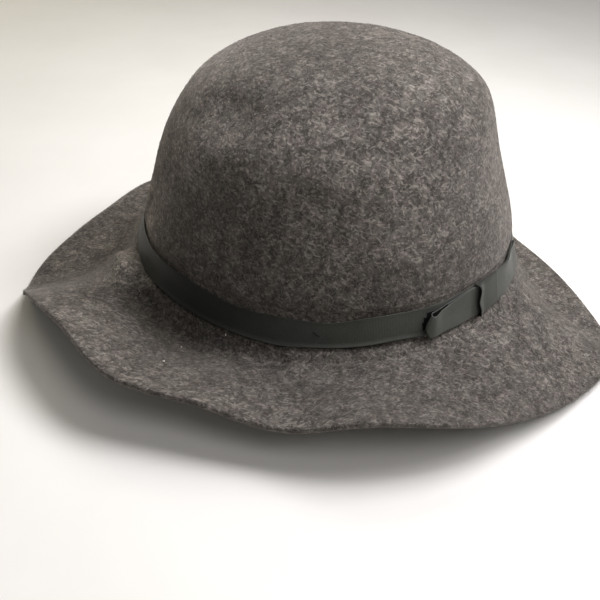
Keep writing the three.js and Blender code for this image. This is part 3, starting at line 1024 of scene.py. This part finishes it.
def bow_loops(band, layers, material, painted_shade_material):
    """One strip of ribbon pressed flat over the band: open at the front end, closed under the knot."""
    middle = band.run_at(BOW_AZIMUTH)
    angle = np.arange(BOW_STEPS) * 2 * np.pi / BOW_STEPS
    towards_back = np.cos(angle) > 0
    layer = np.clip(np.sin(angle) * BOW_TURN, -1, 1)
    round_end = np.sqrt(1 - layer ** 2) * np.sign(np.cos(angle))
    drop = BACK_LAYER_DROP + (FRONT_LAYER_DROP - BACK_LAYER_DROP) * (layer + 1) / 2
    outer, inner = [], []
    for share in BOW_ROWS:
        slant = UPPER_SLANT * max(share - 0.1, 0) ** 1.2 + LOWER_SLANT * max(-share - 0.2, 0) ** 1.3
        reach = np.where(towards_back, BACK_REACH, FRONT_REACH - slant)
        distance = reach * np.cos(angle)
        azimuth = band.azimuth_at(middle + distance)
        low = BOW_FOOT + FOOT_RISE * np.exp(-((distance + FOOT_RISE_AT) / FOOT_RISE_AT) ** 2)
        high = BOW_TOP - drop * smoothstep(DROP_FROM, FRONT_REACH - DROP_FULL_BEFORE, -distance)
        up = low + (share + 1) / 2 * (high - low)
        back = layers.back(distance)
        half = (layers.step + layers.opening(distance, share)) / 2
        lift = edge_lift(azimuth, up)
        rib = ribs_along(np.cumsum(np.abs(np.gradient(distance))), RIB_PITCH)
        at_edge = abs(share) > 0.9
        for rows, side, ribs in (
            (outer, RIBBON_THICKNESS / 2, SELVEDGE if at_edge else rib),
            (inner, -RIBBON_THICKNESS / 2, 0),
        ):
            rows.append(band.point(
                middle + distance + (half + side + ribs) * round_end * 0.5,
                up,
                back + half + (half + side + ribs) * layer + lift,
            ))
    piece = loft("bow_ribbon", np.stack(outer + inner[::-1], 1), material, ring=True)
    # Painted shade inside the front loop's open end and on the rear layer's side against the band
    piece.data.materials.append(painted_shade_material)
    row_count = len(BOW_ROWS)
    for face in piece.data.polygons:
        section, side = divmod(face.index, 2 * row_count)
        at_open_end = FRONT_REACH * math.cos(angle[section]) < SHADE_LONGER - LOOP_OPEN_FROM
        in_slit = row_count <= side < 2 * row_count - 1 and at_open_end
        against_band = side < row_count - 1 and layer[section] < -0.2
        face.material_index = int(in_slit or against_band)
    place_piece(piece, "ribbon", "bow_loops")


def bow_wrap(band, layers, material, edge_painted_shade_material):
    """The knot: ribbon wrapped upright round the middle of the loops, its front edge standing off them."""
    middle = band.run_at(BOW_AZIMUTH)
    half_out = 1.5 * layers.step
    angle = np.arange(KNOT_STEPS) * 2 * np.pi / KNOT_STEPS
    shape_up = np.sign(np.sin(angle)) * np.abs(np.sin(angle)) ** KNOT_ROUNDNESS
    shape_out = np.sign(np.cos(angle)) * np.abs(np.cos(angle)) ** KNOT_ROUNDNESS
    on_front = smoothstep(-0.2, 0.6, shape_out)
    wave = np.sin(np.pi * (shape_up / 0.67 - 0.5)) * smoothstep(-1.2, 0.6, shape_up)
    outer, inner = [], []
    for share in KNOT_ROWS:
        flare = KNOT_EDGE_LIFT * math.exp(-((share + 0.5) / KNOT_EDGE_SHARE) ** 2)
        thick = RIBBON_THICKNESS * (1 - KNOT_THINNING * float(smoothstep(-0.2, 0.5, share)))
        sway = KNOT_SWAY * wave * (0.5 - share) ** 2
        run = middle + share * KNOT_LENGTH + sway * on_front
        azimuth = band.azimuth_at(run)
        for rows, side in ((outer, thick - RIBBON_THICKNESS / 2), (inner, -RIBBON_THICKNESS / 2)):
            up = KNOT_MIDDLE + shape_up * (KNOT_HALF_HEIGHT + side) / BAND_WIDTH
            out = layers.first + half_out + shape_out * (half_out + side) + flare * on_front
            rows.append(band.point(run, up, out + edge_lift(azimuth, up)))
    piece = loft("bow_wrap", np.stack(outer + inner[::-1], 1), material, ring=True)
    # Painted shade on the knot's rear edge, in the thread's dark grey
    piece.data.materials.append(edge_painted_shade_material)
    rear_edge = len(KNOT_ROWS) - 1
    for face in piece.data.polygons:
        face.material_index = int(face.index % (2 * len(KNOT_ROWS)) == rear_edge)
    place_piece(piece, "ribbon", "bow_knot")


def tack_stitch(band, material):
    """The short thread that holds the ribbon's end, across the band at the wearer's left."""
    share = np.linspace(0, 1, TACK_STEPS)[:, None]
    route = TACK_ENDS[0] + (TACK_ENDS[1] - TACK_ENDS[0]) * share
    run = np.array([band.run_at(azimuth) for azimuth in route[:, 0]])
    arch = TACK_RISE * np.sin(np.pi * share[:, 0]) ** 0.5
    out = RIBBON_INSIDE + RIBBON_THICKNESS + RIB_HEIGHT - TACK_DEPTH + arch
    tube("tack_thread", band.point(run, route[:, 1], out), THREAD_RADIUS, material, "ribbon")


# The hat

band = Band()
felt_look = felt_material()
ribbon_look = ribbon_material("grosgrain", 1.0)
# The knot: a darker copy of the ribbon's look, as painted shade
knot_painted_shade_look = ribbon_material("grosgrain_knot_painted_shade", 0.56)
# Painted shade: a near-black ribbon look for places where little light reaches
painted_shade_look = plain_material("ribbon_painted_shade", 0.004)
# Dark thread for the tack, also painted shade on the knot's rear edge
thread_and_painted_shade_look = plain_material("sewing_thread_and_knot_edge_shade", 0.012)
fibre_looks = {row["name"]: fibre_material(**row) for row in FIBRE_LOOKS}

hat = felt_piece(felt_look)
felt_tree = tree_of(hat)
ribbon_tree = tree_of(ribbon_band(band, felt_tree, ribbon_look, painted_shade_look))
layers = BowLayers()
bow_loops(band, layers, ribbon_look, painted_shade_look)
bow_wrap(band, layers, knot_painted_shade_look, thread_and_painted_shade_look)
tack_stitch(band, thread_and_painted_shade_look)

surface = FeltSurface(hat, felt_tree, ribbon_tree)
lint_specks(surface, fibre_looks["white_lint"])
weights = {
    "felt": surface.weight,
    "rim": surface.rim_weight,
    "crest": surface.near(CREST_PLACES, CREST_SPREAD),
    "crown_spots": surface.near(HAIR_PLACES, HAIR_SPREAD),
}
for kind in FIBRES:
    fibres(surface, weights[kind["on"]], kind, fibre_looks[kind["look"]])

# The studio

camera_back, camera_right = add_camera()
add_floor(floor_material())
add_world()
add_lights(camera_back, camera_right)
bpy.context.scene.view_settings.view_transform = "Standard"

bpy.context.view_layer.update()
